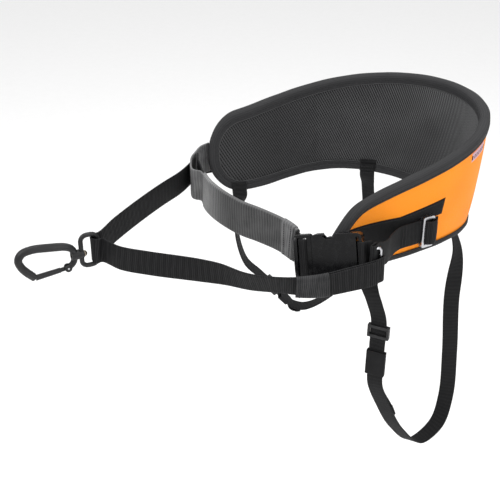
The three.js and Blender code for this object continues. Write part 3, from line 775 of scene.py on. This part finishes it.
def make_pad():
    cover = pad_face("outer_cover_cloth", outer_depth, COVER_THICK, FACE_INSET, ORANGE)
    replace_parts(cover, "outer_cover")
    lining = pad_face("lining_spacer_mesh", lining_depth, LINING_THICK, FACE_INSET, SPACER)
    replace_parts(lining, "mesh_lining")
    rim_binding()
    for name, depth, side in (("outer", 1.75, 1), ("inner", PAD_BACK - 1.75, -1)):
        narrower = LOWER_NARROWING if side > 0 else 0.0
        line = rim_place(BINDING_WIDTH - 3.0, depth - side * 0.25, narrower=narrower)
        outs = side * pad_out(rim_line()[0][:, 0])
        stitch_line(f"binding_stitches_{name}", line, outs)
    piping = rim_place(BINDING_WIDTH + 0.9, PAD_BACK - 0.9, 480)
    wire_loop("lining_piping", piping, 0.55, PIPING)


def wire_loop(name, line, radius, material, around=8):
    """A thin round cord laid along a closed line that isn't flat."""
    along = unit(np.roll(line, -1, 0) - np.roll(line, 1, 0))
    side = unit(np.cross(along, [0.13, 0.21, 0.97]))
    up = np.cross(side, along)
    angle = np.linspace(0, 2 * math.pi, around, endpoint=False)
    round_it = np.cos(angle)[:, None] * side[:, None] + np.sin(angle)[:, None] * up[:, None]
    ring = line[:, None] + radius * round_it
    made = new_object(name, ring.reshape(-1, 3), tube_faces(len(line), around, True), material)
    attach(made, "root")


# ---------------------------------------------------------------- panels on the pad

def down(u, share):
    """A height on the pad, as a share of the way down from its top edge."""
    return lerp(top_height(u), bottom_height(u), share)


def panel_edges(u):
    """The side panel's top and bottom edges. It is narrow behind the slider and widens towards the tip."""
    rise = np.maximum(u - 0.74, 0) / 0.26
    run = (u - 0.565) / 0.175
    inside = pad_edges(u * PAD_HALF, BINDING_WIDTH - 1.0)
    top = np.minimum(down(u, 0.42 - 0.2 * rise), inside[0])
    low = 0.60 - 0.02 * run + 0.75 * np.maximum(run - 1, 0)
    bottom = np.maximum(down(u, np.minimum(low, 1)), inside[1])
    return top, bottom


def side_panel(name, side):
    """The black reinforcing panel, with a turned edge and a row of stitches round it."""
    columns, rows = 70, 26
    u = np.linspace(PANEL_START, PANEL_END, columns)
    top, bottom = panel_edges(u)
    tall = (top - bottom)[:, None]
    share = np.linspace(0, 1, rows)
    z = bottom[:, None] + tall * share
    s = np.repeat((side * u * PAD_HALF)[:, None], rows, 1)
    rim = np.minimum(np.minimum(share, 1 - share) * tall, ((u - PANEL_START) * PAD_HALF)[:, None])
    face = outer_depth(s, z)
    made = cloth_layer(name, s, z, face + 0.35 + 0.9 * np.clip(rim / 1.2, 0, 1) ** 0.5, face + 0.05,
                       PATCH_CLOTH)
    seam_u = np.concatenate([u[2:-1], u[2:-1][::-1], u[2:3]])
    low = bottom[2:-1] + PANEL_STITCH_INSET
    high = top[2:-1] - PANEL_STITCH_INSET
    seam_z = np.concatenate([low, high[::-1], low[:1]])
    seam_s = side * seam_u * PAD_HALF
    line = pad_point(seam_s, seam_z, outer_depth(seam_s, seam_z) + 1.15)
    stitch_line(f"{name}_stitches", line, pad_out(seam_s))
    return made


def near_rim(count, length):
    """Distance to the nearer end for points spread evenly over a length."""
    share = np.linspace(0, 1, count)
    return np.minimum(share, 1 - share) * length


def make_label():
    """The small label near the pad's top edge, blank but for its bars."""
    columns, rows = 30, 14
    u = np.linspace(0.36, 0.455, columns)
    z = down(u[:, None], np.linspace(0.2, 0.115, rows)[None])
    s = np.repeat((u * PAD_HALF)[:, None], rows, 1)
    edge = np.minimum(near_rim(rows, 13)[None], near_rim(columns, 34)[:, None])
    face = outer_depth(s, z)
    middle = np.repeat(np.linspace(-1, 1, rows)[None], columns, 0)
    raised = face + 0.25 + 0.45 * np.clip(edge / 0.8, 0, 1)
    made = cloth_layer("blank_woven_label", s, z, raised, face + 0.02, LABEL, middle)
    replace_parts(made, "blank_label")


def upright(t):
    return (0, 0, 1)


make_pad()
for side_name, side in (("left", 1), ("right", -1)):
    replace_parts(side_panel(f"side_panel_{side_name}", side), f"side_patch_{side_name}")
make_label()
NODES["foam_core"].data.materials.clear()
NODES["foam_core"].data.materials.append(FOAM)

# ---------------------------------------------------------------- belt and towing strap

BELT = [
    (-163, -112, -27), (-158, -147, -28), (-135, -165, -29), (-100, -176, -30), (-63, -186, -30),
    (-28, -187, -30), (15, -180, -30), (44, -170, -29), (76, -161, -28), (98, -157.4, -28.4),
    (112, -157, -30), (121.4, -158.4, -31.4),
]
HIP_LEFT = [
    (182.4, -110.4, -17), (184, -100, -19), (178, -86, -22), (164, -70, -25), (151.4, -50, -26.5),
    (148.8, -30, -27), (147.8, -10, -27), (147.4, 4, -27),
]
HIP_RIGHT = [
    (-157.5, -122, -27), (-153, -92, -28), (-151.5, -60, -29),
    (-149.6, -30, -30.5), (-146.4, -4, -31),
]
TOW_LEFT = [
    (4, -345, -38.5), (27, -333, -40), (52, -310, -40), (90, -268, -40.3),
    (112, -249, -39.5), (139, -232, -39),
    (160, -213, -37), (175, -190, -37), (184, -166, -36.7), (191, -140, -33.5), (194.1, -116, -32),
    (194, -103.5, -31), (192.8, -99.2, -31), (190, -97.4, -31), (187.2, -99.2, -31), (186.2, -103.5, -31),
]
TOW_RIGHT = [
    (-4, -345, -33.5), (-19, -322, -29), (-42, -286, -25), (-68, -246, -23), (-100, -206, -27),
    (-134, -176, -33), (-168, -152, -41), (-175, -128, -43), (-169, -106, -43),
]
TOW_FOLD = [
    (5.6, -351, -37), (4.2, -354.6, -36.4), (0, -356, -36),
    (-4.2, -354.6, -35.6), (-5.6, -351, -35),
]
TOW_PATH = Path(TOW_LEFT[::-1] + TOW_FOLD + TOW_RIGHT)


def tow_across(t):
    """The towing strap stands upright, but leans over beside the buckle."""
    lean = 0.53 * math.exp(-((t - 0.19) / 0.105) ** 2)
    return unit((0.3 * lean, -0.9 * lean, 1 - 0.35 * lean))


BELT_PATH = Path(BELT)


def follow_plug(made):
    """Bakes a belt piece's placement into its mesh."""
    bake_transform(made)
    return made


def sleeve_height(t):
    return lerp(48.0, 43.6, float(np.clip(1.4 * (t - SLEEVE_START) / (1 - SLEEVE_START), 0, 1)))


SLEEVE_START = 0.40
SLEEVE_END = 1 - 14 / BELT_PATH.length
sleeve = follow_plug(strap("waist_sleeve_tube", BELT_PATH, sleeve_height, upright, GREY_WEB, thick=6,
                           start=SLEEVE_START, end=SLEEVE_END, body=None))
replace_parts(sleeve, "waist_sleeve")
web = follow_plug(strap("waist_belt_web", BELT_PATH, WAIST_WEB, upright, BLACK_WEB, start=0.18, body=None))
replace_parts(web, "waist_web")
follow_plug(strap("sleeve_end_cuff", BELT_PATH, 45.2, upright, PALE_WEB, thick=7.6, start=0.885, end=0.945,
                  body=None))
hip_left = strap("hip_strap_left", np.array(HIP_LEFT) + [0, 0, 0.9], HIP_WEB - 1.4, upright, BLACK_WEB)
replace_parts(hip_left, "hip_web_left")
hip_right = strap("hip_strap_right", HIP_RIGHT, HIP_WEB, upright, BLACK_WEB)
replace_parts(hip_right, "hip_web_right")
tow = strap("towing_strap", TOW_PATH, TOW_WEB, tow_across, TOW_BLACK)
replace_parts(tow, "tow_strap")
tail = strap("towing_strap_tail", TOW_PATH, TOW_WEB - 1, tow_across, TOW_BLACK, lift=-WEB_THICK - 0.6,
             start=0.032, end=0.125)
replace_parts(tail, "tow_tail_left")


def local_frame(path, t, across):
    """Place, along, width and face directions of a strap at a share of its length."""
    along = path.along(t)
    face = unit(np.cross(along, across(t)))
    return path.at(t), along, np.cross(face, along), face


def seam(name, path, across, t, half, lift, outward=None, body="root"):
    """A row of stitches straight across a strap. outward picks the face, if it is given."""
    at, along, wide, face = local_frame(path, t, across)
    if outward is not None and not face @ np.array(outward) > 0:
        lift = -lift
    line = [at + wide * x + face * lift for x in np.linspace(-half, half, 12)]
    out = face if lift > 0 else -face
    return stitch_line(name, line, [out] * len(line), body=body, long=1.9, gap=0.9)


HEM_START, HEM_END = 0.112, 0.163
strap("towing_strap_hem", TOW_PATH, TOW_WEB + 1.6, tow_across, HEM_CLOTH, thick=7.4, lift=-1.4,
      start=HEM_START, end=HEM_END, cup=-0.8)
for row, t in enumerate((HEM_START + 0.006, HEM_END - 0.006)):
    seam(f"towing_hem_stitches_{row}", TOW_PATH, tow_across, t, 13.5, -5.9)


def beside_belt(t, out):
    """A place off the belt, level with a share of its length."""
    along = BELT_PATH.along(t)
    return BELT_PATH.at(t) + out * unit([along[1], -along[0], 0])


# the belt's left end: a fold that stands off the belt before it runs into the sleeve, painted pale, a painted
# highlight
FOLD = (
    (0.075, 0), (0.12, 0.3), (0.17, 2.6), (0.22, 7.5), (0.27, 11.0),
    (0.31, 12.6), (0.333, 11.6), (0.345, 8.0),
    (0.352, 4.0), (0.362, 1.9), (0.39, 1.7),
)
strap("belt_end_fold", [beside_belt(t, out) for t, out in FOLD], 41.0, upright, PALE_WEB, thick=2.2,
      pitch=1.0)

# a short web that holds the left wire ring to the hip strap
RING_TAB = np.array([
    (184.5, -104, 0), (187.2, -110, 0), (189.4, -114.6, 0), (192, -113.2, 0), (191.6, -110, 0),
    (188.5, -104.6, 0), (186.6, -99.5, 0),
])
strap("ring_tab_left", RING_TAB + [0, 0, -13.5], 25.0, upright, BLACK_WEB, thick=1.2, pitch=0.7)

# ---------------------------------------------------------------- leg loops

LEG_LEFT = [
    (98.6, 80, -98), (99.2, 79.5, -170), (99.5, 86, -249), (98.5, 89, -325),
    (101, 76, -364), (107.5, 38, -375),
    (114, -2, -334), (118.7, -30, -284), (121.8, -46, -248), (122.4, -48.6, -234), (122.4, -48.6, -192),
    (122.4, -48.6, -150), (123, -56, -126), (120.5, -63, -104), (116, -66, -86),
]
LEG_RIGHT = [
    (-101, 79, -92), (-101, 82, -130), (-103, 72, -190), (-106, 50, -238),
    (-110, 20, -262), (-115, -9, -270),
    (-118.4, -27.6, -263.6), (-119.5, -34, -256), (-123, -55.3, -230.7),
    (-126.5, -76.7, -205.3), (-130, -98, -180),
    (-131.6, -110, -140), (-130, -112, -112), (-125, -112, -88),
]
LEG_TABS = {"left": 119.0, "right": -127.0}     # where the straps are sewn, along the pad
# name, hanging line, direction of the strap's width behind and in front (radians from x), place along the pad
# where its front end is sewn, direction of its width there, length in which it leaves its rear sewn direction
LEGS = (
    ("left", LEG_LEFT, 1.05, 0.64, 288, math.pi / 2, 100),
    ("right", LEG_RIGHT, 0.46, -0.64, -325, -1.77, 36),
)


def leg_loop(name, line, rear_turn, front_turn, front, front_sewn, settled):
    """A leg strap, sewn flat behind the pad's lower edge at both ends and twisting as it hangs."""
    tab = LEG_TABS[name]
    low = pad_edges(tab)[1]
    top = [tuple(pad_point(tab, low + height, SEWN_DEPTH)) for height in (12, 5, -3)]
    front_low = pad_edges(front)[1]
    end = [tuple(pad_point(front, front_low + height, SEWN_DEPTH)) for height in (-4, 4, 12)]
    path = Path(top + line + end)
    sewn_turn = -math.copysign(heading(abs(tab) / PAD_HALF), tab) + (math.pi if tab > 0 else 0)

    def across(t):
        turn = lerp(rear_turn, front_turn, float(ramp(t, 0.28, 0.46)))
        turn = lerp(sewn_turn, turn, float(ramp(t * path.length, 12, settled)))
        turn = lerp(front_sewn, turn, float(ramp((1 - t) * path.length, 14, 60)))
        return (math.cos(turn), math.sin(turn), 0)

    made = strap(f"leg_loop_{name}", path, LEG_WEB, across, BLACK_WEB, body=None)
    tuple(np.array(top[1]) * MM)
    tuple(np.array(line[0]) * MM)
    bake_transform(made)
    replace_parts(made, f"leg_strap_{name}")
    patch = [tuple(pad_point(tab, low + height, TAB_DEPTH)) for height in (17, 11, 5, 1.5)]
    sewn = strap(f"leg_tab_{name}_web", patch, LEG_WEB + 2, lambda t: across(0), BLACK_WEB, thick=1.4)
    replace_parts(sewn, f"leg_tab_{name}")
    return path, across


LEG_RUNS = {leg[0]: leg_loop(*leg) for leg in LEGS}


def leg_tail(name, t_start, t_end, lift, body):
    """The strap's loose end, lying against the strap and turned over at its tip."""
    path, across = LEG_RUNS[name]
    t = np.linspace(t_start, t_end, 12)
    wide = np.array([across(x) for x in t])
    face = unit(np.cross(path.along(t), wide))
    wave = lift * (1.0 + 0.5 * np.sin(np.linspace(0, 7, 12)))
    points = path.at(t) + face * wave[:, None]

    def run(length):
        return lambda x: across(lerp(t_start, t_end, x * length))

    strap(f"leg_tail_{name}", points, LEG_WEB - 1.2, run(1.0), BLACK_WEB, thick=1.6, body=body)
    strap(f"leg_tail_hem_{name}", points[:3], LEG_WEB - 0.4, run(0.18), BLACK_WEB, thick=4.4, pitch=1.0,
          body=body)


leg_tail("left", 0.635, 0.765, 3.0, "leg_left")
leg_tail("right", 0.52, 0.585, -3.0, "leg_right")

# ---------------------------------------------------------------- hardware

HOOK_MIDDLE = (0, -386, -46)
HOOK_FULLER_REACH = (13, 20)   # the hook's bar thickens between these distances from its middle
EDGE_ANGLE = 38                # degrees; sharper edges than this are rounded


def fill_out(mesh, centre, amount, near, far):
    """Push a surface outwards, more and more between two distances from a point."""
    centre = Vector(centre) * MM
    normals = [v.normal.copy() for v in mesh.vertices]
    for vertex, normal in zip(mesh.vertices, normals):
        share = float(ramp((vertex.co - centre).length / MM, near, far))
        vertex.co += normal * (amount * MM * share)


def softened(node, name, material, width=0.6, body=None, slot=None, fuller=0.0):
    """A CAD piece's shape with rounded edges."""
    made = bpy.data.objects.new(name, NODES[node].data.copy())
    bpy.context.scene.collection.objects.link(made)
    mesh = made.data
    make = bmesh.new()
    make.from_mesh(mesh)
    bmesh.ops.remove_doubles(make, verts=make.verts, dist=2e-6)
    bmesh.ops.dissolve_limit(make, angle_limit=math.radians(3), verts=make.verts, edges=make.edges)
    make.to_mesh(mesh)
    make.free()
    if fuller:
        fill_out(mesh, HOOK_MIDDLE, fuller, *HOOK_FULLER_REACH)
    mesh.materials.clear()
    mesh.materials.append(material)
    bevel = made.modifiers.new("rounding", "BEVEL")
    bevel.width = width * MM
    bevel.segments = 3
    bevel.limit_method = "ANGLE"
    bevel.angle_limit = math.radians(EDGE_ANGLE)
    bevel.use_clamp_overlap = True
    smooth(mesh, EDGE_ANGLE)
    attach(made, body)
    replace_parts(made, node)
    return made


def pill(name, middle, axes, size, material, body, power=4.0, rings=13, around=28):
    """A softly rounded moulded bar. axes are its length, width and thickness directions."""
    long, wide, thick = (unit(a) for a in axes)
    turn = np.linspace(0, 2 * math.pi, around, endpoint=False)

    def rounded(v):
        return np.sign(v) * np.abs(v) ** (2 / power)

    points = []
    for a in np.linspace(-math.pi / 2, math.pi / 2, rings):
        a = float(np.clip(a, -1.53, 1.53))
        end, shrink = float(rounded(math.sin(a))), float(rounded(math.cos(a)))
        edge = shrink * (size[1] / 2) * rounded(np.cos(turn))[:, None] * wide
        edge = edge + shrink * (size[2] / 2) * rounded(np.sin(turn))[:, None] * thick
        points.append(np.array(middle) + end * size[0] / 2 * long + edge)
    made = new_object(name, np.vstack(points), tube_faces(rings, around, False), material, sharp=50)
    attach(made, body)
    return made


# the hip strap's turn through its slider: along the strap, out of it
SLIDER_TURN = (
    (-4.2, -1.4), (-4.4, 1.2), (-3.6, 4.4), (-0.6, 6.9), (3.6, 7.6), (7.6, 6.6), (10.2, 4.0), (10.9, 1.0),
    (10.2, -1.2),
)


def web_loop(name, middle, along, body):
    """The hip strap's end, turned out through the slider and back over its rear bar."""
    middle, along = np.array(middle), unit(along)
    outward = np.array([along[1], -along[0], 0]) * math.copysign(1, middle[0])
    points = [middle + along * a + outward * o for a, o in SLIDER_TURN]
    strap(name, points, HIP_WEB - 1.0, upright, BLACK_WEB, thick=2.0, pitch=0.8, body=body, cup=0.4)


web_loop("hip_strap_loop_left", (147.82, -10.48, -27), (-0.03828, 0.99927, 0), "hip_slider_l")
web_loop("hip_strap_loop_right", (-149.36, -27.55, -30.58), (0.1025, 0.9943, 0), "hip_slider_r")

BUCKLE_ALONG = unit(BUCKLE_RIGHT_END - BUCKLE_LEFT_END)
BUCKLE_OUT = np.array([0.63324, -0.7055, 0.31824])
BUCKLE_UP = np.array([-0.3562, 0.09939, 0.92911])
BUCKLE_MIDDLE = (BUCKLE_LEFT_END + BUCKLE_RIGHT_END) / 2


def buckle_place(x, out):
    return BUCKLE_MIDDLE + BUCKLE_ALONG * x + BUCKLE_OUT * out


def across_buckle(t):
    return BUCKLE_UP


PLUG_START = -np.linalg.norm(BUCKLE_RIGHT_END - BUCKLE_LEFT_END) / 2
# webbing turned round the buckle's bars: along the buckle, out of its face
PLUG_TURN = (
    (5.0, -2.0), (5.6, 2.0), (6.8, 5.8), (8.8, 7.3), (11.8, 7.3), (13.8, 5.8), (14.4, 2.0), (14.0, -2.0),
)
SOCKET_TURN = (
    (-5.0, -2.0), (-4.4, 2.5), (-3.6, 6.2), (-1.0, 7.8), (2.2, 7.0), (3.6, 3.5), (5.0, 0.8), (9.5, -1.5),
)
strap("plug_web_turn", [buckle_place(PLUG_START + x, out) for x, out in PLUG_TURN], 40.5, across_buckle,
      BLACK_WEB, pitch=0.8, body="plug")
pill("plug_end_bar", buckle_place(PLUG_START + 2.0, 0), (BUCKLE_UP, BUCKLE_ALONG, BUCKLE_OUT),
     (49.4, 5.6, 13.4), ACETAL, "plug")
strap("socket_web_turn", [buckle_place(-PLUG_START + x, out) for x, out in SOCKET_TURN], 31.0,
      across_buckle, BLACK_WEB, pitch=0.8)

HIP_SEAMS = (
    ("left", Path(HIP_LEFT), (1, 0, 0), (0.60, 0.64, 0.985)),
    ("right", Path(HIP_RIGHT), (-1, 0, 0), (0.5, 0.54, 0.97)),
)
for name, path, outward, shares in HIP_SEAMS:
    for row, t in enumerate(shares):
        seam(f"hip_stitches_{name}_{row}", path, upright, t, 12.5, 1.15, outward)
for row, t in enumerate((0.9, 0.935)):
    follow_plug(seam(f"cuff_stitches_{row}", BELT_PATH, upright, t, 20, 4.1, (0, -1, 0), body=None))
for name, (path, across) in LEG_RUNS.items():
    for row, reach in enumerate((4.0, 8.0, 12.0)):
        seam(f"leg_tab_stitches_{name}_{row}", path, across, reach / path.length, 8.5, 1.1,
             -pad_out(LEG_TABS[name]))

# CAD piece, name, finish, edge radius, body, slot and how much fuller the piece is made
HARDWARE = [
    ("buckle_socket", "buckle_socket_shell", ACETAL, 1.2, "root", "gloss_black_plastic"),
    ("buckle_plug", "buckle_plug_frame", ACETAL, 0.9, "plug", "gloss_black_plastic"),
    ("plug_prong_upper", "prong_upper_arm", ACETAL, 0.8, "prong_upper", "gloss_black_plastic"),
    ("plug_prong_lower", "prong_lower_arm", ACETAL, 0.8, "prong_lower", "gloss_black_plastic"),
    ("hip_slider_left", "hip_slider_frame_left", STEEL, 0.5, "hip_slider_l", "bright_metal"),
    ("hip_slider_right", "hip_slider_frame_right", STEEL, 0.5, "hip_slider_r", "bright_metal"),
    ("leg_slider_left", "leg_triglide_left", NYLON, 0.6, "leg_slider_l", "matte_grey_plastic"),
    ("leg_slider_right", "leg_triglide_right", NYLON, 0.6, "leg_slider_r", "matte_grey_plastic"),
    ("leg_keeper_left", "leg_keeper_band_left", ELASTIC, 0.6, "leg_keeper_l", "elastic_band"),
    ("leg_keeper_right", "leg_keeper_band_right", ELASTIC, 0.6, "leg_keeper_r", "elastic_band"),
    ("d_ring", "tow_ring", ANODISED, 0.3, "ring", "black_metal"),
    ("carabiner_body", "snap_hook_body", ANODISED, 0.3, "hook", "black_metal", 1.0),
    ("carabiner_gate", "snap_hook_gate", ANODISED, 0.3, "gate", "black_metal", 0.5),
    ("gate_pin", "snap_hook_pin", STEEL, 0.2, "hook", "bright_metal"),
    ("swivel_rivet", "swivel_rivet_pin", RIVET_METAL, 0.2, "hook", "rivet_metal"),
    ("side_ring_left", "side_wire_ring_left", STEEL, 0.2, "root", "bright_metal"),
    ("side_ring_right", "side_wire_ring_right", STEEL, 0.2, "root", "bright_metal"),
]
for row in HARDWARE:
    softened(*row)
